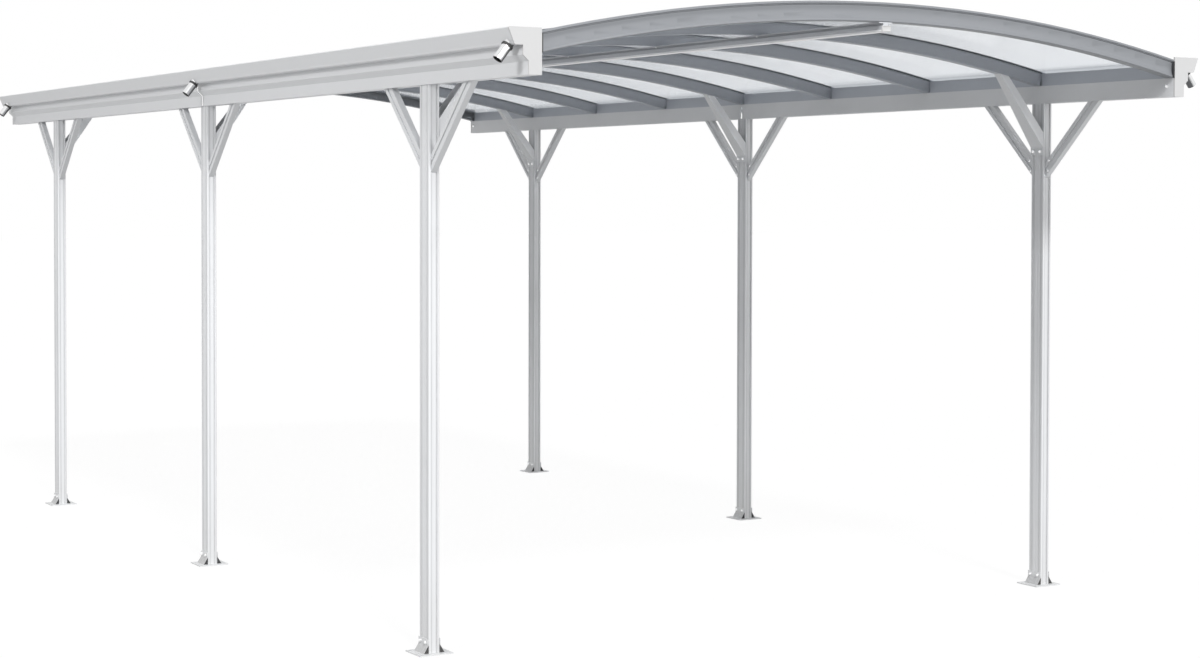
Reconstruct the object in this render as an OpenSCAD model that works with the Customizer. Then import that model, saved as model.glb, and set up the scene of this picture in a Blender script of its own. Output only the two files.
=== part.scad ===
// Free-standing carport: six posts, two gutter beams and an arched roof of clear sheets.
// X runs across the carport, Y along it with the front at -Y, Z is up from the ground.

/* [Frame] */
// Distance between post centres across the carport
post_span = 2950; // [2400:10:3600]
// Distance from one roof arch to the next
bay = 780; // [640:5:900]
// Height of the beams' underside above the ground
clear_h = 2105; // [1800:5:2600]
// Rise of the arches from the beams' ledge to the ridge
roof_rise = 164; // [110:2:300]
// Clearance between pieces that slide together
fit_gap = 0.3; // [0.2:0.05:0.5]

/* [Posts] */
// Post size along the carport
post_l = 80; // [64:1:110]
// Post size across the carport
post_w = 44; // [36:1:56]
// Post wall
post_wall = 5; // [4:0.5:8]
// Corner radius of the post
post_corner = 4; // [2:0.5:5]
// Depth of the channel that takes the braces, in the post's narrow faces
post_channel = 4; // [3:0.5:6]
// Radius of the flutes in the post's wide faces
flute_r = 3; // [1.5:0.5:4]
// Depth of the flutes
flute_d = 2; // [1:0.5:3]
// Distance between the flutes
flute_pitch = 20; // [14:1:24]

/* [Feet] */
// Ground plate size across the carport
foot_x = 136; // [120:1:180]
// Ground plate size along the carport
foot_y = 130; // [120:1:180]
// Ground plate thickness
foot_t = 5; // [4:0.5:10]
// Height of the cheeks that hold the post
cheek_h = 58; // [40:1:100]
// Thickness of a cheek at its top
cheek_t = 4; // [3:0.5:8]
// Spread of a cheek at the ground plate
cheek_flare = 18; // [8:1:24]
// Height of a cheek's upright part
cheek_upright = 26; // [14:1:36]
// Distance between anchor holes across the carport
anchor_x = 104; // [96:1:150]
// Distance between anchor holes along the carport
anchor_y = 104; // [96:1:150]
// Anchor hole diameter
anchor_d = 11; // [8:0.5:14]

/* [Gutter beams] */
// Width of the beam's lower box
box_w = 50; // [44:1:70]
// Height of the whole beam
beam_h = 160; // [150:1:200]
// Height of the ledge that carries the arches
ledge_h = 76; // [60:1:84]
// Width of that ledge
ledge_w = 16; // [12:1:24]
// Height where the outer face starts to widen
step_h = 46; // [30:1:54]
// Height where the outer face has widened
belly_h = 67; // [60:1:80]
// Width of the beam at its belly
belly_w = 72; // [62:1:84]
// Height of the trough's underside
floor_h = 100; // [94:1:104]
// Width of the beam at the trough's floor
trough_w = 107; // [98:1:120]
// Width of the beam at its lip
lip_w = 127; // [118:1:150]
// Radius of the trough's outer corner
trough_r = 9; // [5:1:14]
// Radius of the bead along the lip
bead_r = 4; // [3:0.5:6]
// Wall of the beam
beam_wall = 3; // [2:0.5:4]
// Length of the beams past the last arch line
beam_overhang = 44; // [36:1:80]
// Thickness of an end cap
cap_t = 8; // [4:1:12]
// Depth of the plug that holds an end cap in the beam's box
cap_plug = 14; // [8:1:30]

/* [Spouts] */
// Outer diameter of a spout
spout_d = 36; // [28:1:42]
// Wall of a spout
spout_wall = 2.5; // [1.5:0.5:4]
// Length of a spout from the trough's corner
spout_len = 74; // [50:1:120]
// Lean of a spout outwards
spout_tilt = 38; // [25:1:55]
// Distance of the front spout from the beam's front end
spout_front = 42; // [40:1:140]
// Distance of the back spout from the beam's back end
spout_back = 96; // [40:1:140]
// Distance of the middle spout in front of the beams' joint
spout_mid = 37; // [24:1:90]

/* [Roof] */
// Depth of an arch below the sheets
rib_depth = 52; // [40:1:80]
// Width of a rib's lower flange
rib_w = 42; // [36:1:60]
// Width of a rib's web
rib_web = 14; // [8:1:24]
// Thickness of the arches' flanges
flange_t = 4; // [3:0.5:6]
// Thickness of the roof sheets
sheet_t = 6; // [4:0.5:10]
// Width of the rib's stem between two sheets
stem_w = 8; // [5:1:14]
// Thickness of the strip that covers the sheets' edges
strip_t = 4; // [3:0.5:6]
// Length of the sheets past the gutter's inner wall
drip = 18; // [10:1:40]
// Depth of an edge arch along the carport
edge_d = 44; // [36:1:60]
// Height of an edge arch's face above the sheets
edge_top = 15; // [8:1:24]
// Width of the beads along an edge arch's face
edge_bead = 11; // [8:0.5:14]
// Width of the slopes beside a bead
edge_slope = 3; // [1:0.5:3.5]
// Depth of the face behind the beads' front
edge_face = 4; // [2:0.5:6]
// Width and depth of the groove under the upper bead
edge_groove = 4; // [3:0.5:6]
// Flat land beside the beads and the groove
edge_land = 1.2; // [1:0.2:3]
// Depth of the hollow in an edge arch's face
edge_hollow = 5; // [3:0.5:8]
// Thickness of an edge arch's face at its hollow
edge_wall = 4; // [3:0.5:8]
// Wall of the rails that close the eaves between the arches
rail_wall = 2.5; // [2:0.5:4]

/* [Ridge purlin] */
// Width of the purlin's top flange
purlin_top_w = 60; // [40:1:90]
// Height of the purlin's neck
purlin_neck_h = 9; // [5:1:20]
// Width of the purlin's neck
purlin_neck_w = 22; // [16:1:36]
// Width of the purlin's lower box
purlin_w = 40; // [30:1:60]
// Height of the purlin's lower box
purlin_h = 22; // [16:1:40]

/* [Knee braces] */
// Drop of a beam brace from the beam to its lower end
brace_drop = 320; // [200:5:500]
// Reach of a beam brace along the beam
brace_reach = 335; // [180:5:400]
// Width of a beam brace
brace_w = 46; // [34:1:70]
// Thickness of a beam brace
brace_t = 24; // [18:1:26]
// Depth of the grooves along a beam brace
brace_groove = 4; // [2:0.5:6]
// Height of an arch brace's lower end below the beams
arm_drop = 225; // [160:5:400]
// Height of an arch brace's seat on the post
arm_seat = 100; // [70:5:140]
// Height of the flat tab at an arch brace's lower end
arm_tab_h = 34; // [20:1:44]
// Thickness of that tab
arm_tab_t = 5; // [3:0.5:8]
// Reach of an arch brace at its outer edge
arm_reach = 231; // [140:1:300]
// Width of an arch brace's head along X
arm_head = 42; // [30:1:70]
// Width of an arch brace's head along the carport
arm_top_w = 36; // [24:1:60]
// Wall of an arch brace
arm_wall = 4; // [3:0.5:6]

/* [Hidden] */
$fn = 48;

// Roof layout: eight bays between nine arches, posts under the first, middle and last rib
bays = 8;
post_bays = 3;
post_x = post_span / 2;
post_y = post_bays * bay;
half_arch = bays / 2 * bay;
half_beam = half_arch + beam_overhang;

// Channel of the posts: it holds a brace
channel_w = brace_t + 2 * fit_gap;

// Beam datum: its inner face is flush with the posts' inner faces
inner_x = post_x - post_w / 2;
ledge_z = clear_h + ledge_h;

// Arc of the roof: it meets the ledge's edge and rises to the ridge
arc_r = (inner_x * inner_x + roof_rise * roof_rise) / (2 * roof_rise);
arc_z = ledge_z + roof_rise - arc_r;
arc_fn = 720;
sheet_r = arc_r + rib_depth + fit_gap;
strip_r = sheet_r + sheet_t + fit_gap;
edge_back = edge_face + edge_hollow + edge_wall;
arch_end_x = inner_x + ledge_w - fit_gap;
sheet_end_x = inner_x + ledge_w + beam_wall + drip;
sheet_a = asin(sheet_end_x / sheet_r);

// Height of the gutter's inner wall, which stops just under the sheets
wall_x = inner_x + ledge_w + beam_wall;
wall_h = arc_z + sqrt(sheet_r * sheet_r - wall_x * wall_x) - fit_gap - clear_h;

// Height where the arch braces' outer edge meets the rib
arm_top = arc_z + sqrt(arc_r * arc_r - pow(inner_x - arm_reach, 2));

// Lengths that only have to clear a cut
past = 1;
far = 10000;

powder_coat = [0.80, 0.81, 0.82];
clear_sheet = [0.86, 0.90, 0.94, 0.6];
cap_plastic = [0.92, 0.92, 0.92];
bright_tube = [0.74, 0.75, 0.76];

function side_sign(side) = side == "left" ? -1 : 1;
function row_y(row) = row == "front" ? -post_y : row == "back" ? post_y : 0;

// Shapes that repeat

// Draws its children on the right side, or mirrored on the left
module on_side(side) {
    mirror([side == "left" ? 1 : 0, 0, 0]) children();
}

// Turns a profile drawn as (radius, depth towards the front) along the roof's arc
module arc_sweep(half_angle) {
    translate([0, 0, arc_z])
        rotate([90, 0, 0])
            rotate([0, 0, 90 - half_angle])
                rotate_extrude(angle = 2 * half_angle, $fn = arc_fn)
                    children();
}

// Space that the beams take from the ends of the arches: below the ledges, and at the inner walls
// up to their top or to the height given
module beam_space(top) {
    translate([-far / 2, -far / 2, 0]) cube([far, far, ledge_z]);
    for (turn = [0, 180])
        rotate([0, 0, turn])
            translate([arch_end_x, -far / 2, 0]) cube([far, far, top]);
}

// Posts

module post_outline() {
    x0 = post_w / 2 - post_corner;
    y0 = post_l / 2 - post_corner;
    difference() {
        union() {
            square([2 * x0, post_l], center = true);
            square([post_w, 2 * y0], center = true);
            for (sx = [-1, 1], sy = [-1, 1])
                translate([sx * x0, sy * y0]) circle(post_corner);
        }
        for (side = [-1, 1], k = [-1, 0, 1])
            translate([side * (post_w / 2 + flute_r - flute_d), k * flute_pitch]) circle(flute_r);
        for (side = [-1, 1])
            translate([-channel_w / 2, side * post_l / 2 - post_channel])
                square([channel_w, 2 * post_channel]);
        square([post_w - 2 * post_wall, post_l - 2 * post_wall - 2 * post_channel], center = true);
    }
}

module post(row, side) {
    color(powder_coat)
        translate([side_sign(side) * post_x, row_y(row), foot_t])
            linear_extrude(clear_h - foot_t) post_outline();
}

// Feet

// Section of one cheek: upright at the top, spreading to the ground plate
module cheek_section() {
    x0 = post_w / 2 + fit_gap;
    polygon([
        [x0, foot_t - past], [x0, cheek_h], [x0 + cheek_t, cheek_h],
        [x0 + cheek_t, cheek_h - cheek_upright],
        [x0 + cheek_t + cheek_flare, foot_t], [x0 + cheek_t + cheek_flare, foot_t - past]
    ]);
}

module foot(row, side) {
    color(powder_coat)
        translate([side_sign(side) * post_x, row_y(row), 0]) {
            difference() {
                translate([-foot_x / 2, -foot_y / 2, 0]) cube([foot_x, foot_y, foot_t]);
                for (sx = [-1, 1], sy = [-1, 1])
                    translate([sx * anchor_x / 2, sy * anchor_y / 2, -past])
                        cylinder(d = anchor_d, h = foot_t + 2 * past);
            }
            for (turn = [0, 180])
                rotate([0, 0, turn])
                    translate([0, post_l / 2, 0])
                        rotate([90, 0, 0])
                            linear_extrude(post_l) cheek_section();
        }
}

// Gutter beams

// Outline of the beam, with u outwards from its inner face and h up from its underside
module beam_outline() {
    polygon([
        [0, 0], [box_w, 0], [box_w, step_h], [belly_w, belly_h], [belly_w, floor_h],
        [trough_w - trough_r, floor_h], [trough_w, floor_h + trough_r],
        [lip_w, beam_h - bead_r], [lip_w - bead_r, beam_h], [0, beam_h]
    ]);
    translate([trough_w - trough_r, floor_h + trough_r]) circle(trough_r);
    translate([lip_w - bead_r, beam_h - bead_r]) circle(bead_r);
}

// Hollow of the closed box under the ledge and the trough, or what fits in it with a gap
module beam_hollow(gap) {
    wall = beam_wall + gap;
    lean = atan2(belly_w - box_w, belly_h - step_h);
    shift = wall * tan(lean / 2);
    polygon([
        [wall, wall], [box_w - wall, wall],
        [box_w - wall, step_h + shift], [belly_w - wall, belly_h + shift],
        [belly_w - wall, floor_h - gap], [ledge_w + wall, floor_h - gap],
        [ledge_w + wall, ledge_h - wall], [wall, ledge_h - wall]
    ]);
}

// Open rain trough
module beam_trough() {
    inner = ledge_w + beam_wall;
    polygon([
        [inner, floor_h + beam_wall], [trough_w - trough_r, floor_h + beam_wall],
        [trough_w - beam_wall, floor_h + trough_r],
        [lip_w - 2 * bead_r, beam_h - 2 * bead_r], [lip_w - 2 * bead_r, beam_h + past],
        [inner, beam_h + past]
    ]);
}

module beam_section() {
    difference() {
        beam_outline();
        beam_hollow(0);
        beam_trough();
        translate([-past, ledge_h]) square([ledge_w + past, beam_h]);
        translate([-past, wall_h]) square([ledge_w + beam_wall + 2 * past, beam_h]);
    }
}

// Extrudes a beam section from y0 to y1 on the right side
module along_beam(y0, y1) {
    translate([inner_x, y1, clear_h])
        rotate([90, 0, 0])
            linear_extrude(y1 - y0) children();
}

// Places its children on the axis of the spout at y, with -Z down the spout
module at_spout(y) {
    translate([inner_x + trough_w - trough_r, y, clear_h + floor_h + trough_r])
        rotate([0, -spout_tilt, 0])
            children();
}

module gutter_beam(side, y0, y1, spouts) {
    color(powder_coat)
        on_side(side)
            difference() {
                along_beam(y0, y1) beam_section();
                for (y = spouts)
                    at_spout(y)
                        translate([0, 0, -spout_len])
                            cylinder(d = spout_d - 2 * spout_wall, h = spout_len);
            }
}

module gutter_beam_front(side) {
    gutter_beam(side, -half_beam, 0, [-half_beam + spout_front, -spout_mid]);
}

module gutter_beam_back(side) {
    gutter_beam(side, 0, half_beam, [half_beam - spout_back]);
}

// Plate with the beam's outline, and a plug behind it that goes into the box
module end_cap(row, side) {
    color(cap_plastic)
        on_side(side)
            mirror([0, row == "back" ? 1 : 0, 0]) {
                along_beam(-half_beam - cap_t, -half_beam) beam_outline();
                along_beam(-half_beam - cap_t / 2, -half_beam + cap_plug) beam_hollow(fit_gap);
            }
}

// Three drain tubes, each cut to the trough's corner
module spouts(side) {
    color(bright_tube)
        on_side(side)
            for (y = [-half_beam + spout_front, -spout_mid, half_beam - spout_back])
                difference() {
                    at_spout(y)
                        translate([0, 0, -spout_len])
                            difference() {
                                cylinder(d = spout_d, h = spout_len);
                                translate([0, 0, -past])
                                    cylinder(d = spout_d - 2 * spout_wall, h = spout_len + 2 * past);
                            }
                    along_beam(y - spout_d, y + spout_d) beam_outline();
                }
}

// Roof arches

// Rib section: lower flange, web, the flange that the sheets lie on, the stem between two sheets
// and the strip over their edges
module rib_section() {
    seat = arc_r + rib_depth;
    translate([arc_r, -rib_w / 2]) square([flange_t, rib_w]);
    translate([arc_r, -rib_web / 2]) square([rib_depth, rib_web]);
    translate([seat - flange_t, -rib_w / 2]) square([flange_t, rib_w]);
    translate([seat - flange_t, -stem_w / 2]) square([strip_r - seat + flange_t + strip_t, stem_w]);
    translate([strip_r, -rib_w / 2]) square([strip_t, rib_w]);
}

module rib(k) {
    color(powder_coat)
        translate([0, -half_arch + k * bay, 0])
            difference() {
                arc_sweep(sheet_a) rib_section();
                beam_space(clear_h + wall_h + fit_gap);
            }
}

// Edge arch: a face with two beads, a groove and a hollow, and flanges behind it; the beads reach
// depth 0
module edge_section() {
    face_h = strip_r + edge_top - arc_r;
    low = edge_bead + edge_land;
    groove = face_h - low - edge_groove;
    hollow_h = groove - edge_land - low;
    hollow_r = (hollow_h * hollow_h / 4 + edge_hollow * edge_hollow) / (2 * edge_hollow);
    flanges = [[0, flange_t], [rib_depth - flange_t, flange_t], [strip_r - arc_r, strip_t]];
    translate([arc_r, -edge_face])
        difference() {
            union() {
                translate([0, edge_face - edge_back]) square([face_h, edge_back - edge_face]);
                for (r = [0, face_h - edge_bead])
                    translate([r, 0]) edge_bead_outline();
                for (flange = flanges)
                    translate([flange[0], edge_face - edge_d])
                        square([flange[1], edge_d - edge_back + edge_wall / 2]);
            }
            translate([low + hollow_h / 2, hollow_r - edge_hollow]) circle(hollow_r, $fn = 96);
            translate([groove, -edge_groove]) square([edge_groove, edge_groove + past]);
        }
}

// A bead with sloped sides and its root in the face
module edge_bead_outline() {
    root = -edge_wall / 2;
    polygon([
        [0, root], [edge_bead, root], [edge_bead, 0],
        [edge_bead - edge_slope, edge_face], [edge_slope, edge_face], [0, 0]
    ]);
}

module edge_arch(row) {
    color(powder_coat)
        mirror([0, row == "back" ? 1 : 0, 0])
            translate([0, -half_beam, 0])
                difference() {
                    arc_sweep(sheet_a) edge_section();
                    beam_space(far);
                }
}

// One sheet between two arches; the outer ones reach into the edge arches
module roof_panel(k) {
    stem_gap = stem_w / 2 + fit_gap;
    edge_y = -half_beam + edge_back + fit_gap;
    y0 = k == 1 ? edge_y : -half_arch + (k - 1) * bay + stem_gap;
    y1 = k == bays ? -edge_y : -half_arch + k * bay - stem_gap;
    color(clear_sheet)
        translate([0, y1, 0])
            arc_sweep(sheet_a)
                translate([sheet_r, 0]) square([sheet_t, y1 - y0]);
}

// Rails on a beam's ledge, one in each bay, that close the gap under the sheets
module eaves_rails(side) {
    color(powder_coat)
        on_side(side)
            for (k = [1 : bays]) {
                y0 = k == 1 ? -half_beam + edge_d : -half_arch + (k - 1) * bay + rib_w / 2;
                y1 = k == bays ? half_beam - edge_d : -half_arch + k * bay - rib_w / 2;
                translate([0, y1 - fit_gap, 0])
                    rotate([90, 0, 0])
                        linear_extrude(y1 - y0 - 2 * fit_gap)
                            difference() {
                                rail_outline(0);
                                rail_outline(rail_wall);
                            }
            }
}

// Section of a rail as (X, Z): its top follows the sheets
module rail_outline(inset) {
    x0 = inner_x + inset;
    x1 = arch_end_x - inset;
    top_r = sheet_r - fit_gap - inset;
    polygon([
        [x0, ledge_z + inset], [x1, ledge_z + inset],
        [x1, arc_z + sqrt(top_r * top_r - x1 * x1)], [x0, arc_z + sqrt(top_r * top_r - x0 * x0)]
    ]);
}

// Ridge purlin: a flange against the ribs, a neck and a box below
module ridge_purlin() {
    top_z = arc_z + arc_r - fit_gap;
    neck_z = top_z - flange_t - purlin_neck_h;
    color(powder_coat)
        translate([0, half_beam, 0])
            rotate([90, 0, 0])
                linear_extrude(2 * half_beam)
                    difference() {
                        union() {
                            translate([-purlin_top_w / 2, top_z - flange_t])
                                square([purlin_top_w, flange_t]);
                            translate([-purlin_neck_w / 2, neck_z])
                                square([purlin_neck_w, purlin_neck_h + flange_t]);
                            translate([-purlin_w / 2, neck_z - purlin_h])
                                square([purlin_w, purlin_h]);
                        }
                        translate([-purlin_w / 2 + flange_t, neck_z - purlin_h + flange_t])
                            square([purlin_w - 2 * flange_t, purlin_h - 2 * flange_t]);
                    }
}

// Knee braces

// Brace from the channel in the post's narrow face up to the beam, drawn towards +Y from the
// post's centre
module beam_brace() {
    run = sqrt(brace_reach * brace_reach + brace_drop * brace_drop);
    across = brace_w * run / brace_drop;
    upright = brace_w * run / brace_reach;
    lean = atan2(brace_reach, brace_drop);
    foot_z = clear_h - brace_drop - post_channel * brace_drop / brace_reach;
    band = brace_w / 4;
    translate([0, post_l / 2, 0])
        difference() {
            translate([-brace_t / 2, 0, 0])
                rotate([90, 0, 90])
                    linear_extrude(brace_t)
                        polygon([
                            [-post_channel, foot_z], [brace_reach, clear_h],
                            [brace_reach - across, clear_h], [-post_channel, foot_z + upright]
                        ]);
            for (face = [-1, 1])
                translate([face * brace_t / 2, 0, clear_h - brace_drop])
                    rotate([-lean, 0, 0])
                        translate([-brace_groove, -brace_w / 2 - band / 2, -run])
                            cube([2 * brace_groove, band, 3 * run]);
        }
}

// Side view of the brace from the right post's inner face to the rib, as (X, Z): a tab on the post,
// then the arm; with an inset, the hollow of the arm
module arm_side(inset) {
    low = clear_h - arm_drop;
    bend = low + arm_tab_h;
    tab_x = inner_x - arm_tab_t;
    head_x = inner_x - arm_reach + inset;
    lower = inset > 0 ? [[post_x, bend + inset], [tab_x, bend + inset]]
        : [[post_x, low], [tab_x, low], [tab_x, bend]];
    polygon(concat(lower, [
        [head_x, arm_top], [head_x + arm_head, arm_top],
        [inner_x + inset, low + arm_seat + inset], [post_x, low + arm_seat + inset]
    ]));
}

// Front view of the same brace, narrowing from the tab to its head, as (Y, Z)
module arm_front(inset) {
    low = clear_h - arm_drop;
    foot = post_l / 2 - inset;
    head = arm_top_w / 2 - inset;
    polygon([
        [-foot, low - past], [foot, low - past], [foot, low + arm_tab_h],
        [head, arm_top], [-head, arm_top], [-foot, low + arm_tab_h]
    ]);
}

module arm_solid(side_inset, front_inset) {
    intersection() {
        translate([0, post_l, 0]) rotate([90, 0, 0])
            linear_extrude(2 * post_l) arm_side(side_inset);
        rotate([90, 0, 90])
            linear_extrude(post_x) arm_front(front_inset);
    }
}

// Tapered channel, open on its upper side, from the post to the rib above it
module arch_brace() {
    intersection() {
        difference() {
            arm_solid(0, 0);
            arm_solid(arm_wall, arm_wall);
        }
        translate([0, -post_l, 0]) cube([inner_x, 2 * post_l, far]);
        translate([0, post_l, arc_z]) rotate([90, 0, 0])
            cylinder(r = arc_r - fit_gap, h = 2 * post_l, $fn = arc_fn);
    }
}

module knee_braces(row, side) {
    color(powder_coat)
        translate([0, row_y(row), 0])
            on_side(side) {
                translate([post_x, 0, 0]) {
                    beam_brace();
                    mirror([0, 1, 0]) beam_brace();
                }
                arch_brace();
            }
}

post("front", "left");  // post_front_left
post("front", "right");  // post_front_right
post("middle", "left");  // post_middle_left
post("middle", "right");  // post_middle_right
post("back", "left");  // post_back_left
post("back", "right");  // post_back_right
foot("front", "left");  // foot_front_left
foot("front", "right");  // foot_front_right
foot("middle", "left");  // foot_middle_left
foot("middle", "right");  // foot_middle_right
foot("back", "left");  // foot_back_left
foot("back", "right");  // foot_back_right
gutter_beam_front("left");  // gutter_beam_left_front
gutter_beam_back("left");  // gutter_beam_left_back
gutter_beam_front("right");  // gutter_beam_right_front
gutter_beam_back("right");  // gutter_beam_right_back
end_cap("front", "left");  // end_cap_front_left
end_cap("front", "right");  // end_cap_front_right
end_cap("back", "left");  // end_cap_back_left
end_cap("back", "right");  // end_cap_back_right
spouts("left");  // spouts_left
spouts("right");  // spouts_right
edge_arch("front");  // edge_arch_front
edge_arch("back");  // edge_arch_back
rib(1);  // rib_1
rib(2);  // rib_2
rib(3);  // rib_3
rib(4);  // rib_4
rib(5);  // rib_5
rib(6);  // rib_6
rib(7);  // rib_7
roof_panel(1);  // roof_panel_1
roof_panel(2);  // roof_panel_2
roof_panel(3);  // roof_panel_3
roof_panel(4);  // roof_panel_4
roof_panel(5);  // roof_panel_5
roof_panel(6);  // roof_panel_6
roof_panel(7);  // roof_panel_7
roof_panel(8);  // roof_panel_8
eaves_rails("left");  // eaves_rails_left
eaves_rails("right");  // eaves_rails_right
ridge_purlin();
knee_braces("front", "left");  // knee_braces_front_left
knee_braces("front", "right");  // knee_braces_front_right
knee_braces("middle", "left");  // knee_braces_middle_left
knee_braces("middle", "right");  // knee_braces_middle_right
knee_braces("back", "left");  // knee_braces_back_left
knee_braces("back", "right");  // knee_braces_back_right
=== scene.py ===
"""Carport: the finishes of its frame and sheets, and the fixings and trim that go on them. In metres."""
import math
from itertools import product

import bpy
from mathutils import Matrix, Vector


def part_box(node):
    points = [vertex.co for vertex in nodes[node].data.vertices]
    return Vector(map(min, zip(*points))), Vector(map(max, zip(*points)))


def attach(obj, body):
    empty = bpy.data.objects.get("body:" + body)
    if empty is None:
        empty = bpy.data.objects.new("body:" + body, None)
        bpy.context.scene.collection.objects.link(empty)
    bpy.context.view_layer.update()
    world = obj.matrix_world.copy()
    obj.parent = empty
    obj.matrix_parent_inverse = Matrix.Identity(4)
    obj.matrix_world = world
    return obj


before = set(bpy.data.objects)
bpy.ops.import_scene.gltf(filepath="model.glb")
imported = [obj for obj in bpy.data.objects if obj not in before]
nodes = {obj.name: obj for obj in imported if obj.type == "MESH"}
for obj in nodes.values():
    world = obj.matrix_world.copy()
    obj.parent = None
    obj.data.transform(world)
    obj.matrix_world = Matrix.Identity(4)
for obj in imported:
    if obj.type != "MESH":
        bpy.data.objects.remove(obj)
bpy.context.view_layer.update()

# Photograph: its size in pixels, and the camera fitted to the posts, ribs and beams, angles in degrees
PHOTO_W = 1200
PHOTO_H = 658
CENTRE_COLUMN = 643.6
CENTRE_ROW = 253.4
FOCAL_PX = 2248.2
CAMERA_AT = (-5.0747, -9.8743, 1.6924)
CAMERA_YAW = 30.975
CAMERA_PITCH = -1.427
CAMERA_ROLL = -0.139
CAMERA_REACH = 500
SENSOR = 36.0

# Finishes, as linear colours
SILVER = (0.75, 0.76, 0.775)
# The ribs, edge arches and eaves rails have the frame's silver coat; the next three greys are it darkened as
# painted shade.
ROOF_SHADE_GREY = (0.362, 0.385, 0.424)
EDGE_SHADE_GREY = (0.276, 0.288, 0.308)
RAIL_SHADE_GREY = (0.495, 0.525, 0.575)
# The purlin's silver coat, darker on its sides as painted shade, and a pale strip on its lower edges as
# painted highlight.
PURLIN_SHADE_GREY = (0.60, 0.615, 0.645)
PURLIN_HIGHLIGHT = (0.95, 0.955, 0.965)
SHEET = (0.93, 0.955, 0.985)
CAP_WHITE = (0.635, 0.636, 0.638)
TUBE_METAL = (0.86, 0.865, 0.87)
# Dark tone of the painted shade on the spouts' undersides
SPOUT_UNDERSIDE_SHADE = (0.075, 0.078, 0.082)
ZINC = (0.96, 0.963, 0.966)
# Black rubber, also worn by dark pieces that are painted shade
RUBBER_AND_SHADE_BLACK = (0.035, 0.036, 0.038)
DUST = (0.42, 0.39, 0.34)
WHITE = (1, 1, 1)

# Powder coat: how far its gloss varies, the height of its orange peel, and the share of splash dirt
GLOSSIER = 0.06
DULLER = 0.08
PEEL_HEIGHT = 0.0004
DIRT_SHARE = 0.22

# Painted shade on the posts, in their flutes and brace channels: the middle and the half width of its bands,
# from a post's axis
CHANNEL_BAND_SHADE = (0.0105, 0.0050)
FLUTE_BAND_SHADE = (0.0240, 0.0095)
BAND_CORE = 0.4
POST_SHADE_DEPTH = 0.77

# Darker tone low on the feet: the heights between which it fades out, above the ground plate
FOOT_DARK_FROM = 0.0056
FOOT_DARK_FULL = 0.026
FOOT_DARK_END = 0.050
FOOT_DARK_DEPTH = 0.62

# Twin-wall sheet: the pitch of its inner walls, and how much darker they show
WALL_PITCH = 0.0105
WALL_SHADE = 0.86

# Painted shade on the spouts' undersides: the slopes at which it starts and is full, its depth and its
# ragged edge
SPOUT_SHADE_FROM = 0.04
SPOUT_SHADE_FULL = -0.28
SPOUT_SHADE_DEPTH = 0.94
SPOUT_SHADE_RAGGED = 0.16

# Places that the added pieces take from the frame
BODY = "root"
SIDES = (-1, 1)
ROWS = ("front", "middle", "back")
RIBS = 7
PANELS = RIBS + 1
post_low, post_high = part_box("post_front_right")
purlin_low, purlin_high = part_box("ridge_purlin")
beam_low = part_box("gutter_beam_right_front")[0]
cap_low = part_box("end_cap_front_right")[0]
arch_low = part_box("edge_arch_front")[0]
post_x = (post_low.x + post_high.x) / 2
row_y = {row: sum(v.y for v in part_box(f"post_{row}_right")) / 2 for row in ROWS}
rib_y = [sum(v.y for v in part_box(f"rib_{k}")) / 2 for k in range(1, RIBS + 1)]

# Arc of the roof, from the ledge's inner edge to the ridge
FIT_GAP = 0.0003
ARC_STEPS = 48
rise = purlin_high.z + FIT_GAP - arch_low.z
arc_r = (beam_low.x ** 2 + rise ** 2) / (2 * rise)
arc_z = purlin_high.z + FIT_GAP - arc_r


# Shader nodes

def feed(tree, socket, value):
    """Links another node's output to an input, or sets the input to a plain value."""
    if isinstance(value, bpy.types.NodeSocket):
        tree.links.new(value, socket)
    else:
        socket.default_value = value


def set_up(tree, node, **values):
    """Gives a node its settings; a name with a capital is an input that is fed."""
    for name, value in values.items():
        if name[0].isupper():
            feed(tree, node.inputs[name.replace("_", " ")], value)
        else:
            setattr(node, name, value)
    return node


def add(tree, kind, **values):
    """A new node with its settings."""
    return set_up(tree, tree.nodes.new(kind), **values)


def calc(tree, operation, *values):
    """The result of a math node."""
    node = add(tree, "ShaderNodeMath", operation=operation)
    for socket, value in zip(node.inputs, values):
        feed(tree, socket, value)
    return node.outputs["Value"]


def remap(tree, value, **limits):
    """A value that is taken from one range to another."""
    return add(tree, "ShaderNodeMapRange", Value=value, **limits).outputs["Result"]


def noise(tree, place, **values):
    """A noise over the place."""
    return add(tree, "ShaderNodeTexNoise", Vector=place, **values).outputs["Fac"]


def stretched(tree, place, scale):
    """The place, scaled by its own factor along each axis."""
    return add(tree, "ShaderNodeMapping", Vector=place, Scale=scale).outputs["Vector"]


def split(tree, vector):
    """The three outputs X, Y and Z of a vector."""
    return add(tree, "ShaderNodeSeparateXYZ", Vector=vector).outputs


def shaded(colour, shade):
    """A darker tone of a colour."""
    return tuple(c * shade for c in colour)


def blend(tree, factor, first, second):
    """The mix of two colours, each a plain colour or another node's output."""
    mix = add(tree, "ShaderNodeMix", data_type="RGBA", Factor=factor)
    for label, colour in (("A", first), ("B", second)):
        feed(tree, mix.inputs[label], (*colour, 1) if isinstance(colour, tuple) else colour)
    return mix.outputs["Result"]


def bumped(tree, height, strength, distance):
    """The normal that a height gives."""
    node = add(tree, "ShaderNodeBump", Height=height, Strength=strength, Distance=distance)
    return node.outputs["Normal"]


# Shader groups that several finishes share

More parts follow.
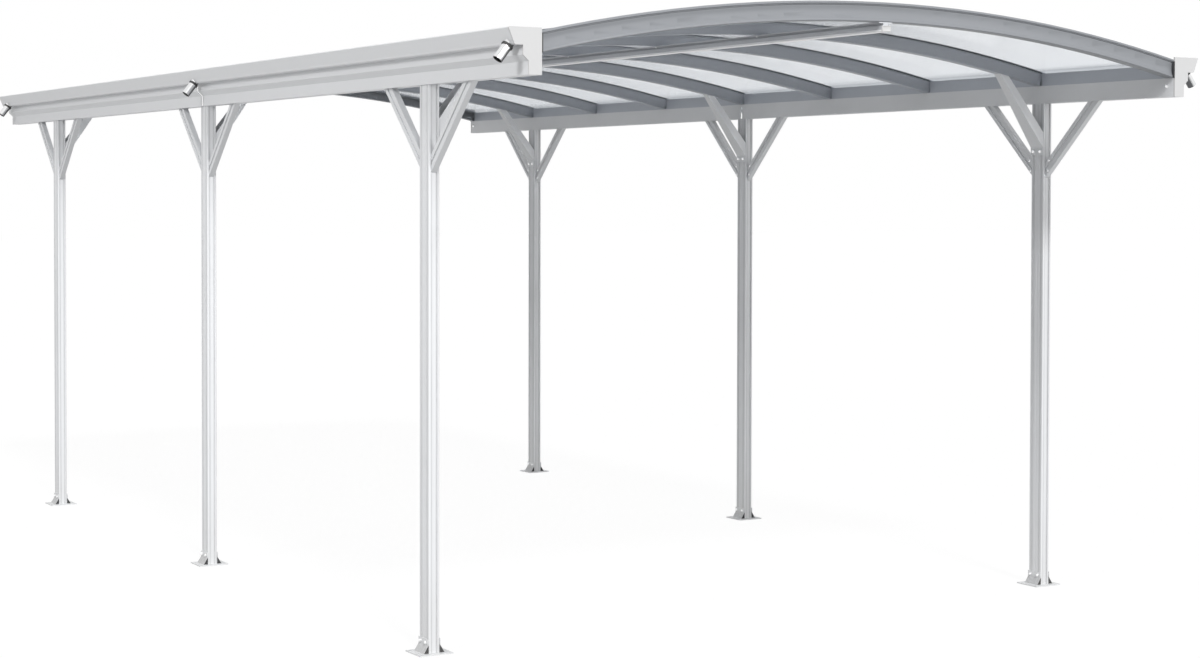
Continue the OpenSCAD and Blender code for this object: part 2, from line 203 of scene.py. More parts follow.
def new_group(name, outputs, **inputs):
    """An empty shader group that reads a place and other inputs, its start node and its end node."""
    group = bpy.data.node_groups.new(name, "ShaderNodeTree")
    group.interface.new_socket("Vector", in_out="INPUT", socket_type="NodeSocketVector")
    for label, value in inputs.items():
        socket = group.interface.new_socket(label, in_out="INPUT", socket_type="NodeSocketFloat")
        socket.default_value = value
    for label in outputs:
        group.interface.new_socket(label, in_out="OUTPUT", socket_type="NodeSocketFloat")
    return group, group.nodes.new("NodeGroupInput"), group.nodes.new("NodeGroupOutput")


def coat_grain_group():
    """Powder coat: a fine orange-peel height and a broad mottle."""
    group, start, end = new_group("coat_grain", ("Height", "Mottle"), Peel=700.0)
    place = start.outputs["Vector"]
    set_up(
        group, end,
        Height=noise(group, place, Scale=start.outputs["Peel"], Detail=2.0),
        Mottle=noise(group, place, Scale=3.5, Detail=4.0, Roughness=0.6),
    )
    return group


def weather_group():
    """Splash dirt that fades with height, broken up by drawn-out streaks."""
    group, start, end = new_group("weather", ("Mask",), Reach=0.35)
    place = start.outputs["Vector"]
    height = split(group, place)["Z"]
    fade = remap(group, height, From_Max=start.outputs["Reach"], To_Min=1.0, To_Max=0.0)
    streak = noise(group, stretched(group, place, scale=(38.0, 38.0, 4.0)), Scale=1.0, Detail=3.0)
    set_up(group, end, Mask=calc(group, "MULTIPLY", fade, streak))
    return group


def post_shade_group():
    """Bands of painted shade along the flutes and the brace channels of the posts, broken up by streaks
    drawn out along them.
    """
    group, start, end = new_group("post_flute_shade", ("Mask",))
    place = start.outputs["Vector"]
    axes = split(group, place)
    half_row = row_y["back"] / 2
    from_post = calc(group, "SUBTRACT", calc(group, "ABSOLUTE", axes["X"]), post_x)
    from_row = calc(group, "WRAP", axes["Y"], half_row, -half_row)
    bands = []
    for distance, (middle, half_width) in ((from_post, CHANNEL_BAND_SHADE), (from_row, FLUTE_BAND_SHADE)):
        offset = calc(group, "SUBTRACT", calc(group, "ABSOLUTE", distance), middle)
        bands.append(remap(
            group, calc(group, "ABSOLUTE", offset), interpolation_type="SMOOTHSTEP",
            From_Min=half_width, From_Max=BAND_CORE * half_width,
        ))
    streak = noise(group, stretched(group, place, scale=(160.0, 160.0, 3.0)), Scale=1.0, Detail=3.0)
    broken = remap(group, streak, From_Min=0.3, From_Max=0.6, To_Min=0.6)
    set_up(group, end, Mask=calc(group, "MULTIPLY", calc(group, "MAXIMUM", *bands), broken))
    return group


def foot_darkening_group():
    """A darker tone low on the cheeks of the feet, broken up by noise; none on the ground plates."""
    group, start, end = new_group("foot_cheek_darkening", ("Mask",))
    place = start.outputs["Vector"]
    height = split(group, place)["Z"]
    above = calc(group, "GREATER_THAN", height, FOOT_DARK_FROM)
    fade = remap(group, height, From_Min=FOOT_DARK_END, From_Max=FOOT_DARK_FULL)
    speckle = noise(group, place, Scale=120.0, Detail=3.0)
    broken = remap(group, speckle, From_Min=0.3, From_Max=0.6, To_Min=0.7)
    set_up(group, end, Mask=calc(group, "MULTIPLY", calc(group, "MULTIPLY", above, fade), broken))
    return group


COAT_GRAIN = coat_grain_group()
WEATHER = weather_group()
# Painted shade in the posts' flutes and brace channels.
POST_PAINTED_SHADE = (post_shade_group(), POST_SHADE_DEPTH)
# A darker tone low on the feet's cheeks.
FOOT_DARKENING = (foot_darkening_group(), FOOT_DARK_DEPTH)


# Finishes

def new_finish(name):
    """A material, its nodes, its shader, and the object coordinates that its patterns read."""
    material = bpy.data.materials.new(name)
    material.use_nodes = True
    tree = material.node_tree
    place = add(tree, "ShaderNodeTexCoord").outputs["Object"]
    return material, tree, tree.nodes["Principled BSDF"], place


def place_group(tree, group, place, **values):
    """The outputs of a shader group that is placed in a material."""
    return add(tree, "ShaderNodeGroup", node_tree=group, Vector=place, **values).outputs


def coated_metal(name, colour, shade, rough, peel_depth, darker_tone=None):
    """Powder-coated aluminium: mottled tone, orange-peel grain, splash dirt and, if given, a darker tone
    under a mask: painted shade in the posts' flutes and channels, and a darker tone low on the feet.
    """
    material, tree, shader, place = new_finish(name)
    grain = place_group(tree, COAT_GRAIN, place)
    coat = blend(tree, grain["Mottle"], shaded(colour, shade), colour)
    if darker_tone:
        group, darker_depth = darker_tone
        bands = place_group(tree, group, place)
        coat = blend(tree, bands["Mask"], coat, shaded(colour, darker_depth))
    dirt = calc(tree, "MULTIPLY", place_group(tree, WEATHER, place)["Mask"], DIRT_SHARE)
    set_up(
        tree, shader,
        Base_Color=blend(tree, dirt, coat, DUST),
        Roughness=remap(tree, grain["Mottle"], To_Min=rough - GLOSSIER, To_Max=rough + DULLER),
        Normal=bumped(tree, grain["Height"], peel_depth, PEEL_HEIGHT),
        Metallic=0.15,
    )
    return material


def sheet_finish():
    """Twin-wall sheet: clear pale plastic with the inner walls showing as fine lines along the arc."""
    material, tree, shader, place = new_finish("twin_wall_sheet")
    wave = calc(tree, "SINE", calc(tree, "MULTIPLY", split(tree, place)["Y"], 2 * math.pi / WALL_PITCH))
    line = remap(tree, wave, From_Min=0.75, From_Max=1.0)
    set_up(
        tree, shader,
        Base_Color=blend(tree, line, SHEET, shaded(SHEET, WALL_SHADE)),
        Roughness=remap(tree, line, To_Min=0.06, To_Max=0.14),
        Normal=bumped(tree, wave, strength=0.08, distance=0.0006),
        Transmission_Weight=1.0,
        IOR=1.03,
        Coat_Weight=0.2,
        Coat_Roughness=0.12,
    )
    return material


def cap_finish():
    """Moulded cap plastic: near white, with a faint mottle and a fine grain."""
    material, tree, shader, place = new_finish("cap_plastic")
    grain = place_group(tree, COAT_GRAIN, place, Peel=1500.0)
    set_up(
        tree, shader,
        Base_Color=blend(tree, grain["Mottle"], shaded(CAP_WHITE, shade=0.94), CAP_WHITE),
        Roughness=0.5,
        Normal=bumped(tree, grain["Height"], strength=0.12, distance=0.0003),
    )
    return material


def tube_finish():
    """Bright bare tube: fine lines drawn along it, and painted shade, dark, on its underside and rim."""
    material, tree, shader, place = new_finish("bright_tube")
    drawn = noise(tree, stretched(tree, place, scale=(30.0, 1400.0, 30.0)), Scale=1.0, Detail=3.0)
    metal = blend(tree, drawn, shaded(TUBE_METAL, shade=0.9), TUBE_METAL)
    slope = split(tree, add(tree, "ShaderNodeTexCoord").outputs["Normal"])["Z"]
    ragged = calc(tree, "MULTIPLY_ADD", drawn, SPOUT_SHADE_RAGGED, slope)
    underside_shade = remap(tree, ragged, From_Min=SPOUT_SHADE_FROM, From_Max=SPOUT_SHADE_FULL, To_Max=SPOUT_SHADE_DEPTH)
    set_up(
        tree, shader,
        Base_Color=blend(tree, underside_shade, metal, SPOUT_UNDERSIDE_SHADE),
        Roughness=remap(tree, underside_shade, To_Min=0.12, To_Max=0.4),
        Metallic=1.0,
    )
    return material


def zinc_finish():
    """Bright zinc of the screws, with a faint cloudiness."""
    material, tree, shader, place = new_finish("bright_zinc")
    cloud = noise(tree, place, Scale=420.0, Detail=3.0)
    set_up(
        tree, shader,
        Base_Color=blend(tree, cloud, shaded(ZINC, shade=0.94), ZINC),
        Roughness=remap(tree, cloud, To_Min=0.08, To_Max=0.2),
        Metallic=1.0,
    )
    return material


def rubber_and_shade_finish():
    """Dark rubber, for seals and for dark pieces that are painted shade: matt, with a fine grain and pale
    dust in its mottle.
    """
    material, tree, shader, place = new_finish("black_rubber_and_shade")
    grain = place_group(tree, COAT_GRAIN, place, Peel=1200.0)
    dusty = remap(tree, grain["Mottle"], From_Min=0.45, From_Max=0.8, To_Max=0.2)
    set_up(
        tree, shader,
        Base_Color=blend(tree, dusty, RUBBER_AND_SHADE_BLACK, DUST),
        Roughness=0.75,
        Normal=bumped(tree, grain["Height"], strength=0.3, distance=0.0003),
    )
    return material


FRAME_COAT = {"shade": 0.94, "rough": 0.44, "peel_depth": 0.18}
ROOF_COAT = {"shade": 0.93, "rough": 0.48, "peel_depth": 0.18}
FINISH = {
    "silver": coated_metal("silver_powder_coat", SILVER, **FRAME_COAT),
    "post": coated_metal("post_powder_coat", SILVER, **FRAME_COAT, darker_tone=POST_PAINTED_SHADE),
    "foot": coated_metal("foot_powder_coat", SILVER, **FRAME_COAT, darker_tone=FOOT_DARKENING),
    # Darker copies of the silver coat: painted shade on the ribs, edge arches and eaves rails.
    "roof": coated_metal("roof_shaded_coat", ROOF_SHADE_GREY, **ROOF_COAT),
    "edge": coated_metal("edge_shaded_coat", EDGE_SHADE_GREY, **ROOF_COAT),
    "rail": coated_metal("rail_shaded_coat", RAIL_SHADE_GREY, **ROOF_COAT),
    # The purlin's sides darker as painted shade; the pale strip on its lower edges is a painted highlight.
    "purlin": coated_metal("purlin_shaded_coat", PURLIN_SHADE_GREY, shade=0.95, rough=0.44, peel_depth=0.18),
    "strip": coated_metal("purlin_painted_highlight", PURLIN_HIGHLIGHT, shade=0.97, rough=0.3, peel_depth=0.08),
    "sheet": sheet_finish(),
    "cap": cap_finish(),
    "tube": tube_finish(),
    "zinc": zinc_finish(),
    "rubber": rubber_and_shade_finish(),
}
FINISH_OF = {
    "roof_panel": "sheet",
    "end_cap": "cap",
    "spouts": "tube",
    "rib": "roof",
    "edge_arch": "edge",
    "eaves_rails": "rail",
    "ridge_purlin": "purlin",
    "post": "post",
    "foot": "foot",
}


def dress(node, material):
    """Gives a node of the frame its finish."""
    mesh = nodes[node].data
    mesh.materials.clear()
    mesh.materials.append(material)


for node in nodes:
    kind = next((k for k in FINISH_OF if node.startswith(k)), None)
    dress(node, FINISH[FINISH_OF.get(kind, "silver")])


# Modelling steps that several pieces share

FACING = 0.9
SAME_PLACE = 1e-4
MERGE_WITHIN = 1e-5
SMOOTH_BELOW = math.radians(40)
FINE_EDGE = 0.0003


def begin(name, add_primitive, sizes=(1, 1, 1), **values):
    """Adds a primitive at its sizes and place, with that place in its mesh."""
    bpy.ops.object.select_all(action="DESELECT")
    add_primitive(**values)
    piece = bpy.context.object
    piece.name = name
    piece.scale = sizes
    bpy.ops.object.transform_apply(location=True, rotation=True, scale=True)
    return piece


def begin_block(name, place, sizes):
    """Adds a block by its middle and its sizes."""
    return begin(name, bpy.ops.mesh.primitive_cube_add, sizes=sizes, size=1, location=place)


def pick_faces(piece, test):
    """Opens the piece for editing with only those faces selected whose normals pass the test."""
    bpy.ops.object.mode_set(mode="EDIT")
    bpy.ops.mesh.select_mode(type="FACE")
    bpy.ops.mesh.select_all(action="DESELECT")
    bpy.ops.object.mode_set(mode="OBJECT")
    for face in piece.data.polygons:
        face.select = test(face.normal)
    bpy.ops.object.mode_set(mode="EDIT")


def pick_edges(piece, test):
    """Opens the piece for editing with only those edges selected whose ends both pass the test."""
    bpy.ops.object.mode_set(mode="EDIT")
    bpy.ops.mesh.select_mode(type="EDGE")
    bpy.ops.mesh.select_all(action="DESELECT")
    bpy.ops.object.mode_set(mode="OBJECT")
    points = piece.data.vertices
    for edge in piece.data.edges:
        edge.select = all(test(points[k].co) for k in edge.vertices)
    bpy.ops.object.mode_set(mode="EDIT")


def push(x=0.0, y=0.0, z=0.0):
    """Extrudes what is selected by that much."""
    bpy.ops.mesh.extrude_region_move(TRANSFORM_OT_translate={"value": (x, y, z)})


def modify(piece, kind, **values):
    """Adds a modifier and applies it."""
    bpy.context.view_layer.objects.active = piece
    modifier = piece.modifiers.new(kind.lower(), kind)
    for name, value in values.items():
        setattr(modifier, name, value)
    bpy.ops.object.modifier_apply(modifier=modifier.name)


def soften(piece, width):
    """Rounds the piece's sharp edges and smooths its shading."""
    modify(piece, "BEVEL", width=width, segments=2, limit_method="ANGLE")
    bpy.ops.object.shade_smooth_by_angle(angle=SMOOTH_BELOW)


def face_out():
    """Merges the doubles of the piece at hand and turns all its faces outwards."""
    bpy.ops.object.mode_set(mode="EDIT")
    bpy.ops.mesh.select_all(action="SELECT")
    bpy.ops.mesh.remove_doubles(threshold=MERGE_WITHIN)
    bpy.ops.mesh.normals_make_consistent(inside=False)
    bpy.ops.object.mode_set(mode="OBJECT")


def join(name, pieces, finish):
    """Joins finished pieces into one that rides on the frame."""
    bpy.ops.object.select_all(action="DESELECT")
    for piece in pieces:
        piece.select_set(True)
    bpy.context.view_layer.objects.active = pieces[0]
    if len(pieces) > 1:
        bpy.ops.object.join()
    whole = bpy.context.view_layer.objects.active
    whole.name = name
    whole.data.materials.clear()
    whole.data.materials.append(FINISH[finish])
    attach(whole, BODY)


def put_copies(model, spots):
    """Copies of a piece that was modelled on z = 0, one on each spot, its z axis along the spot's normal."""
    copies = []
    for point, normal in spots:
        copy = model.copy()
        copy.data = model.data.copy()
        bpy.context.scene.collection.objects.link(copy)
        turn = Vector(normal).to_track_quat("Z", "Y").to_matrix().to_4x4()
        copy.matrix_world = Matrix.Translation(point) @ turn
        copies.append(copy)
    bpy.data.objects.remove(model)
    bpy.ops.object.select_all(action="DESELECT")
    for copy in copies:
        copy.select_set(True)
    bpy.context.view_layer.objects.active = copies[0]
    bpy.ops.object.transform_apply(location=True, rotation=True, scale=True)
    return copies


def bent_strip(name, route, y, width, thickness, side, edge):
    """A strip of sheet bent along a route of (x, z) points; its thickness lies on the route's side."""
    (x0, z0), (x1, z1) = route[:2]
    strip = begin(
        name, bpy.ops.mesh.primitive_plane_add, size=1,
        location=((x0 + x1) / 2, y, (z0 + z1) / 2),
        rotation=(0, math.atan2(z0 - z1, x1 - x0), 0),
        sizes=(math.hypot(x1 - x0, z1 - z0), width, 1),
    )
    for (xa, za), (xb, zb) in zip(route[1:], route[2:]):
        end = Vector((xa, 0, za))
        pick_edges(strip, lambda p: (Vector((p.x, 0, p.z)) - end).length < SAME_PLACE)
        push(x=xb - xa, z=zb - za)
        bpy.ops.object.mode_set(mode="OBJECT")
    modify(strip, "SOLIDIFY", thickness=thickness, offset=side, use_even_offset=True)
    soften(strip, edge)
    return strip


def arc_bar(name, radius, y, height, width, edge):
    """A bar of rectangular section along the roof's arc, from ledge to ledge."""
    half_angle = math.asin(beam_low.x / radius)
    bar = begin(
        name, bpy.ops.mesh.primitive_plane_add, size=1,
        location=(radius * math.sin(half_angle), y, arc_z + radius * math.cos(half_angle)),
        rotation=(0, half_angle - math.radians(90), 0), sizes=(height, width, 1),
    )
    bpy.ops.object.mode_set(mode="EDIT")
    bpy.ops.mesh.select_all(action="SELECT")
    bpy.ops.mesh.spin(steps=ARC_STEPS, angle=2 * half_angle, center=(0, 0, arc_z), axis=(0, 1, 0))
    bpy.ops.object.mode_set(mode="OBJECT")
    face_out()
    soften(bar, edge)
    return bar


def dished_block(name, place, sizes, end, rim, dish, edge):
    """A moulded block whose face at that end along y is dished inside a rim."""
    block = begin_block(name, place, sizes)
    pick_faces(block, lambda n: n.y * end > FACING)
    bpy.ops.mesh.inset(thickness=rim)
    push(y=-end * dish)
    bpy.ops.object.mode_set(mode="OBJECT")
    soften(block, edge)
    return block


# Screws: the radius and the height of their heads, and their places

CHEEK_SCREW = (0.0075, 0.0065)
CHEEK_SCREW_Z = 0.045
CHEEK_SCREW_Y = 0.024
CHEEK_OUT = 0.0263
TAB_SCREW = (0.0080, 0.0075)
TAB_SCREW_Z = 1.897
TAB_SCREW_Y = 0.022
TAB_T = 0.005
BRACE_SCREW = (0.0052, 0.0036)
BRACE_SCREW_AT = ((0.017, 1.813), (0.024, 1.857))
BRACE_HALF_T = 0.012
BEAM_SCREW = (0.0080, 0.0085)
BEAM_SCREW_AT = (0.036, 0.044)
PURLIN_SCREW = (0.0050, 0.0040)
PURLIN_SCREW_X = 0.0215
PURLIN_FLANGE_T = 0.004
HEAD_SIDES = 14


def domed_screw(radius, height):
    """Screw with a bright domed head on a thin flange; it stands on z = 0."""
    flange = 0.2 * height
    rim = 0.1 * radius
    dome = 0.7 * (height - flange)
    screw = begin(
        "screw", bpy.ops.mesh.primitive_cylinder_add, vertices=HEAD_SIDES, radius=radius, depth=flange,
        location=(0, 0, flange / 2),
    )
    pick_faces(screw, lambda n: n.z > FACING)
    bpy.ops.mesh.inset(thickness=rim)
    push(z=height - flange)
    bpy.ops.object.mode_set(mode="OBJECT")
    pick_edges(screw, lambda p: p.z > height - SAME_PLACE)
    bpy.ops.mesh.bevel(offset=dome, segments=3, affect="EDGES")
    bpy.ops.object.mode_set(mode="OBJECT")
    bpy.ops.object.shade_smooth_by_angle(angle=SMOOTH_BELOW)
    return screw


def put_screws(name, size, spots):
    """Equal screws, one on each spot."""
    join(name, put_copies(domed_screw(*size), spots), "zinc")


def foot_screws():
    """Screws through the feet's cheeks into the posts."""
    spots = []
    for side, row, out, step in product(SIDES, ROWS, SIDES, SIDES):
        x = side * post_x + out * CHEEK_OUT
        spots.append(((x, row_y[row] + step * CHEEK_SCREW_Y, CHEEK_SCREW_Z), (out, 0, 0)))
    put_screws("foot_screws", CHEEK_SCREW, spots)


def arm_screws():
    """Screws through the tabs of the inward arms into the posts."""
    spots = []
    for side, row, step in product(SIDES, ROWS, SIDES):
        x = side * (post_low.x - TAB_T)
        spots.append(((x, row_y[row] + step * TAB_SCREW_Y, TAB_SCREW_Z), (-side, 0, 0)))
    put_screws("arm_screws", TAB_SCREW, spots)


def brace_screws():
    """Screws on the inner faces of the beam braces, beside the posts."""
    spots = []
    half_post = (post_high.y - post_low.y) / 2
    for side, row, along, (out, z) in product(SIDES, ROWS, SIDES, BRACE_SCREW_AT):
        y = row_y[row] + along * (half_post + out)
        spots.append(((side * (post_x - BRACE_HALF_T), y, z), (-side, 0, 0)))
    put_screws("brace_screws", BRACE_SCREW, spots)


def beam_end_screws():
    """Screws that hold the end caps' plugs, on the beams' inner faces."""
    spots = []
    from_end, up = BEAM_SCREW_AT
    for side, end in product(SIDES, SIDES):
        y = end * (abs(beam_low.y) - from_end)
        spots.append(((side * beam_low.x, y, beam_low.z + up), (-side, 0, 0)))
    put_screws("beam_end_screws", BEAM_SCREW, spots)


def purlin_screws():
    """Screws through the purlin's flange into the ribs."""
    spots = []
    for y, side in product(rib_y, SIDES):
        spots.append(((side * PURLIN_SCREW_X, y, purlin_high.z - PURLIN_FLANGE_T), (0, 0, -1)))
    put_screws("purlin_screws", PURLIN_SCREW, spots)


# Collars round the spouts

SPOUT_TILT = math.radians(38)
SPOUT_R = 0.018
SPOUT_ROOT = (0.098, 0.109)
SPOUT_FROM_END = (0.042, 3.127, 6.232)
COLLAR_AT = 0.014
COLLAR_H = 0.009
COLLAR_T = 0.0034
COLLAR_SIDES = 36
COLLAR_EDGE = 0.001


def spout_collars():
    """Rubber rings round the spouts where they leave the troughs."""
    ring = begin(
        "collar", bpy.ops.mesh.primitive_cylinder_add, vertices=COLLAR_SIDES, radius=SPOUT_R + COLLAR_T,
        depth=COLLAR_H, end_fill_type="NOTHING",
    )
    modify(ring, "SOLIDIFY", thickness=COLLAR_T, offset=-1)
    soften(ring, COLLAR_EDGE)
    root_x = beam_low.x + SPOUT_ROOT[0]
    root_z = beam_low.z + SPOUT_ROOT[1]
    spots = []
    for side, step in product(SIDES, SPOUT_FROM_END):
        down = Vector((side * math.sin(SPOUT_TILT), 0, -math.cos(SPOUT_TILT)))
        root = Vector((side * root_x, beam_low.y + step, root_z))
        spots.append((root + COLLAR_AT * down, down))
    join("spout_collars", put_copies(ring, spots), "rubber")


# Dark wedges in the feet's cheeks, painted shade

CHEEK_INNER = 0.0223
CHEEK_END = 0.040
CHEEK_WEDGE_T = 0.0015
CHEEK_WEDGE_LOW = 0.006
CHEEK_WEDGE_W = 0.018
CHEEK_WEDGE_H = 0.029
CHEEK_WEDGE_GAP = 0.0008


def cheek_plug(inner, y, out):
    """A thin wedge that stands on its inner face and slopes down outwards."""
    sizes = (CHEEK_WEDGE_W, CHEEK_WEDGE_T, CHEEK_WEDGE_H)
    plug = begin_block(
        "cheek_plug", (inner + out * CHEEK_WEDGE_W / 2, y, CHEEK_WEDGE_LOW + CHEEK_WEDGE_H / 2), sizes,
    )
    bpy.ops.object.mode_set(mode="EDIT")
    bpy.ops.mesh.select_all(action="SELECT")
    bpy.ops.mesh.bisect(
        plane_co=(inner, y, CHEEK_WEDGE_LOW + CHEEK_WEDGE_H), plane_no=(out * CHEEK_WEDGE_H, 0, CHEEK_WEDGE_W),
        use_fill=True, clear_outer=True,
    )
    bpy.ops.object.mode_set(mode="OBJECT")
    face_out()
    soften(plug, FINE_EDGE)
    return plug


def cheek_plugs():
    """Dark wedges that close the ends of the feet's flared cheeks: painted shade where the cheeks' ends lie
    in shadow.
    """
    plugs = []
    for side, row, out, end in product(SIDES, ROWS, SIDES, SIDES):
        inner = side * post_x + out * (CHEEK_INNER + CHEEK_WEDGE_GAP)
        plugs.append(cheek_plug(inner, row_y[row] + end * (CHEEK_END + CHEEK_WEDGE_T / 2), out))
    join("cheek_plugs", plugs, "rubber")


# Covers over the beams' joints: their routes over the beam's outside and inside

JOINT_W = 0.012
JOINT_T = 0.0012
BEAM_OUTSIDE = ((0.072, 0.0995), (0.072, 0.067), (0.050, 0.046), (0.050, 0.001))
BEAM_INSIDE = ((0.0, 0.062), (0.0, 0.002))


def joint_covers():
    """Cover strips over the butt joints of the beams, outside and inside."""
    strips = []
    for side, (profile, turn) in product(SIDES, ((BEAM_OUTSIDE, 1), (BEAM_INSIDE, -1))):
        route = [(side * (beam_low.x + u), beam_low.z + h) for u, h in profile]
        strips.append(bent_strip("joint", route, 0, JOINT_W, JOINT_T, turn * side, FINE_EDGE))
    join("joint_covers", strips, "zinc")


# Highlight strip and plugs on the purlin

PURLIN_BOX_W = 0.040
PURLIN_BOX_H = 0.022
STRIP_T = 0.0012
STRIP_H = 0.007
STRIP_EDGE = 0.0004
PLUG_T = 0.006
PLUG_RIM = 0.003
PLUG_DISH = 0.0015
PLUG_EDGE = 0.0008


def purlin_highlight_strip():
    """Pale strip clipped over the purlin's lower edges, along its whole length: a painted highlight for
    their lit undersides.
    """
    half = PURLIN_BOX_W / 2 + FIT_GAP
    low = purlin_low.z - FIT_GAP
    route = [(-half, low + STRIP_H), (-half, low), (half, low), (half, low + STRIP_H)]
    strip = bent_strip("strip", route, 0, purlin_high.y - purlin_low.y, STRIP_T, 1, STRIP_EDGE)
    join("purlin_highlight_strip", [strip], "strip")


def purlin_plugs():
    """Moulded plugs that close the ends of the purlin's box."""
    plugs = []
    for end in SIDES:
        place = (0, end * (purlin_high.y + PLUG_T / 2), purlin_low.z + PURLIN_BOX_H / 2)
        sizes = (PURLIN_BOX_W, PLUG_T, PURLIN_BOX_H)
        plugs.append(dished_block("plug", place, sizes, end, PLUG_RIM, PLUG_DISH, PLUG_EDGE))
    join("purlin_plugs", plugs, "cap")


# Dark strips at the edge arches' ends: painted shade in the gaps by the end caps

GAP_SHADE_W = 0.005
GAP_SHADE_T = 0.007
GAP_SHADE_H = 0.066
GAP_SHADE_RIM = 0.001
GAP_SHADE_DISH = 0.001
GAP_SHADE_EDGE = 0.0006


def arch_end_gap_shades():
    """Dark strips between the edge arches' faces and the end caps: painted shade for the shadowed gap there.
    """
    gap_shades = []
    for side, end in product(SIDES, SIDES):
        x = side * (cap_low.x - GAP_SHADE_W / 2)
        y = end * (abs(arch_low.y) + GAP_SHADE_T / 2)
        place = (x, y, arch_low.z + GAP_SHADE_H / 2)
        sizes = (GAP_SHADE_W, GAP_SHADE_T, GAP_SHADE_H)
        gap_shades.append(dished_block("gap_shade_block", place, sizes, end, GAP_SHADE_RIM, GAP_SHADE_DISH, GAP_SHADE_EDGE))
    join("arch_end_gap_shades", gap_shades, "rubber")


# Plates on the ribs' sides, and lips along their cover strips

RIB_DEPTH = 0.052
RIB_HALF_W = 0.021
RIB_FLANGE_T = 0.004
SIDE_T = 0.002
SIDE_BACK = 0.0005
SHEET_TOP = 0.0583
LIP_W = 0.003
LIP_H = 0.0026
LIP_EDGE = 0.0005


def rib_sides():
    """Plates that close both sides of the ribs between their flanges."""
    plates = []
    radius = arc_r + RIB_DEPTH / 2
    height = RIB_DEPTH - 2 * (RIB_FLANGE_T + FIT_GAP)
    for y, step in product(rib_y, SIDES):
        plate_y = y + step * (RIB_HALF_W - SIDE_BACK - SIDE_T / 2)
        plates.append(arc_bar("plate", radius, plate_y, height, SIDE_T, FINE_EDGE))
    join("rib_sides", plates, "roof")


def sheet_gaskets():
    """Rubber lips on the sheets, along both edges of each rib's cover strip."""
    lips = []
    radius = arc_r + SHEET_TOP + LIP_H / 2
    for y, step in product(rib_y, SIDES):
        lip_y = y + step * (RIB_HALF_W + LIP_W / 2)
        lips.append(arc_bar("lip", radius, lip_y, LIP_H, LIP_W, LIP_EDGE))
    join("sheet_gaskets", lips, "rubber")


# Channels on the sheets' ends

SHEET_T = 0.006
SHEET_END_X = 1.490
TRIM_T = 0.0012
TRIM_DEPTH = 0.011
TRIM_PAST = 0.0004


def sheet_trims():
    """Channels that close the sheets' ends over the gutters."""
    trims = []
    inner = arc_r + SHEET_TOP - SHEET_T - TRIM_PAST
    outer = arc_r + SHEET_TOP + TRIM_PAST
    end_angle = math.asin(SHEET_END_X / (arc_r + SHEET_TOP - SHEET_T)) + TRIM_PAST / arc_r
    lap_angle = end_angle - TRIM_DEPTH / arc_r
    corners = ((outer, lap_angle), (outer, end_angle), (inner, end_angle), (inner, lap_angle))
    for k, side in product(range(1, PANELS + 1), SIDES):
        low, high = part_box(f"roof_panel_{k}")
        route = [(side * r * math.sin(a), arc_z + r * math.cos(a)) for r, a in corners]
        middle_y = (low.y + high.y) / 2
        trims.append(bent_strip("trim", route, middle_y, high.y - low.y, TRIM_T, side, FINE_EDGE))
    join("sheet_trims", trims, "silver")


foot_screws()
arm_screws()
brace_screws()
beam_end_screws()
purlin_screws()
spout_collars()
cheek_plugs()
joint_covers()
purlin_highlight_strip()
purlin_plugs()
arch_end_gap_shades()
rib_sides()
sheet_gaskets()
sheet_trims()


# Stage

WORLD_LIGHT = 0.42
FLOOR_SIZE = 160
FLOOR_GREY = (0.45, 0.45, 0.45)
FLOOR_GLOW = 1.09
FLOOR_GLOW_SHARE = 0.87


def plainly_seen(tree):
    """Whether a ray sees the surface straight, in a mirror or through the sheets, not off a matt surface."""
    path = add(tree, "ShaderNodeLightPath").outputs
    seen = calc(tree, "MAXIMUM", path["Is Camera Ray"], path["Is Glossy Ray"])
    seen = calc(tree, "MAXIMUM", seen, path["Is Transmission Ray"])
    return calc(tree, "MULTIPLY", seen, calc(tree, "LESS_THAN", path["Diffuse Depth"], 0.5))


def backdrop_world():
    """Even white surroundings: full white where they are seen, dimmer as light."""
    world = bpy.data.worlds.new("studio")
    bpy.context.scene.world = world
    world.use_nodes = True
    tree = world.node_tree
    strength = remap(tree, plainly_seen(tree), To_Min=WORLD_LIGHT, To_Max=1.0)
    set_up(tree, tree.nodes["Background"], Color=(*WHITE, 1), Strength=strength)


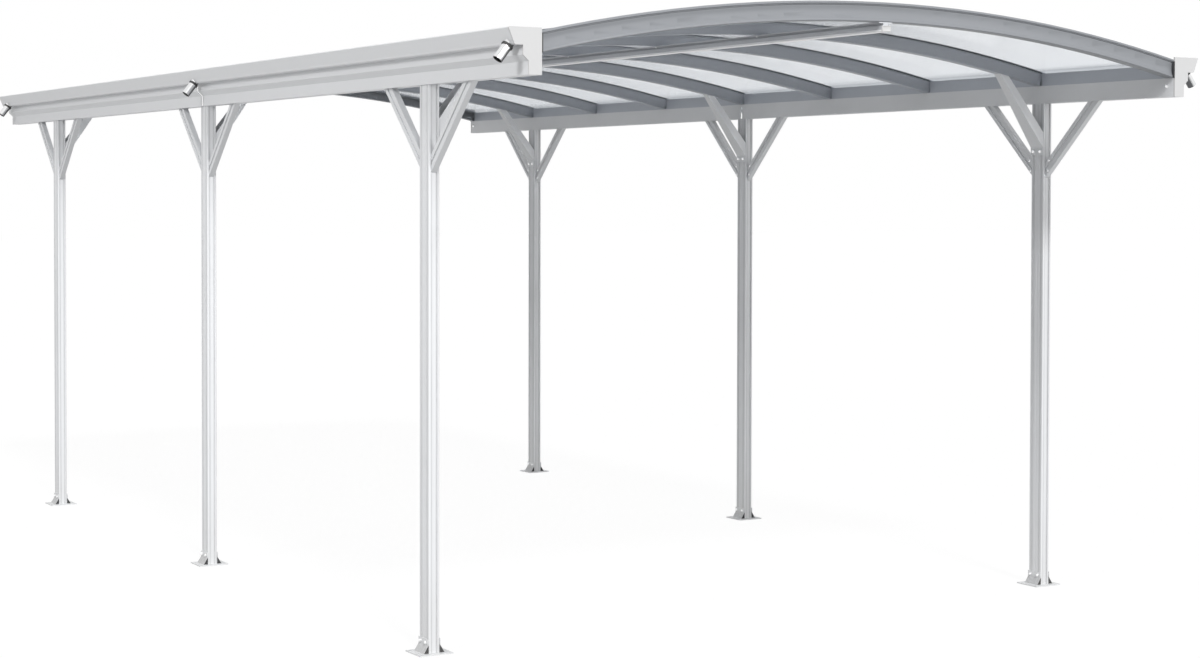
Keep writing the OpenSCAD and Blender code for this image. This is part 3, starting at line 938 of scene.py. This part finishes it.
def pale_floor():
    """Wide floor: white to the eye, grey as a source of bounced light, with the carport's shadow on it."""
    bpy.ops.mesh.primitive_plane_add(size=FLOOR_SIZE, location=(0, 0, 0))
    floor = bpy.context.object
    floor.name = "floor"
    material = bpy.data.materials.new("pale_floor")
    material.use_nodes = True
    tree = material.node_tree
    shader = tree.nodes["Principled BSDF"]
    set_up(tree, shader, Base_Color=(*FLOOR_GREY, 1), Roughness=0.9, Specular_IOR_Level=0.1)
    glow = add(tree, "ShaderNodeEmission", Strength=FLOOR_GLOW)
    share = calc(tree, "MULTIPLY", plainly_seen(tree), FLOOR_GLOW_SHARE)
    mix = add(tree, "ShaderNodeMixShader", Fac=share)
    tree.links.new(shader.outputs["BSDF"], mix.inputs[1])
    tree.links.new(glow.outputs["Emission"], mix.inputs[2])
    tree.links.new(mix.outputs["Shader"], tree.nodes["Material Output"].inputs["Surface"])
    floor.data.materials.append(material)


def hang(name, data, place, direction):
    """Puts a lamp at its place, shining against the direction."""
    data.cycles.use_multiple_importance_sampling = False
    holder = bpy.data.objects.new(name, data)
    holder.location = place
    holder.rotation_euler = direction.to_track_quat("Z", "Y").to_euler()
    bpy.context.scene.collection.objects.link(holder)


def sun(name, source, strength, angle):
    """A soft sun that shines from the source point towards the origin."""
    lamp = bpy.data.lights.new(name, "SUN")
    lamp.energy = strength
    lamp.angle = math.radians(angle)
    hang(name, lamp, (0, 0, 0), Vector(source))


def soft_lamp(name, place, target, power, size):
    """A square soft lamp that stands at its place and faces the target."""
    lamp = bpy.data.lights.new(name, "AREA")
    lamp.shape = "SQUARE"
    lamp.size = size
    lamp.energy = power
    hang(name, lamp, place, Vector(place) - Vector(target))


def photo_camera():
    """Camera at the photograph's place; its shift puts its centre on the fitted column and row."""
    data = bpy.data.cameras.new("camera")
    data.sensor_fit = "HORIZONTAL"
    data.sensor_width = SENSOR
    data.lens = FOCAL_PX / PHOTO_W * SENSOR
    data.shift_x = (PHOTO_W / 2 - CENTRE_COLUMN) / PHOTO_W
    data.shift_y = (CENTRE_ROW - PHOTO_H / 2) / PHOTO_W
    data.clip_end = CAMERA_REACH
    camera = bpy.data.objects.new("camera", data)
    camera.location = CAMERA_AT
    turn = (90 + CAMERA_PITCH, CAMERA_ROLL, -CAMERA_YAW)
    camera.rotation_euler = [math.radians(angle) for angle in turn]
    bpy.context.scene.collection.objects.link(camera)
    bpy.context.scene.camera = camera


bpy.ops.object.select_all(action="DESELECT")
backdrop_world()
pale_floor()
sun("front_key", source=(-0.16, -0.74, 0.65), strength=2.1, angle=8)
soft_lamp("left_fill", place=(-11.5, -5, 7), target=(-1, -0.5, 1.2), power=540, size=3.0)
soft_lamp("front_fill", place=(3, -16, 3), target=(0, 0, 1.6), power=370, size=5.0)
photo_camera()
bpy.context.scene.view_settings.view_transform = "Standard"
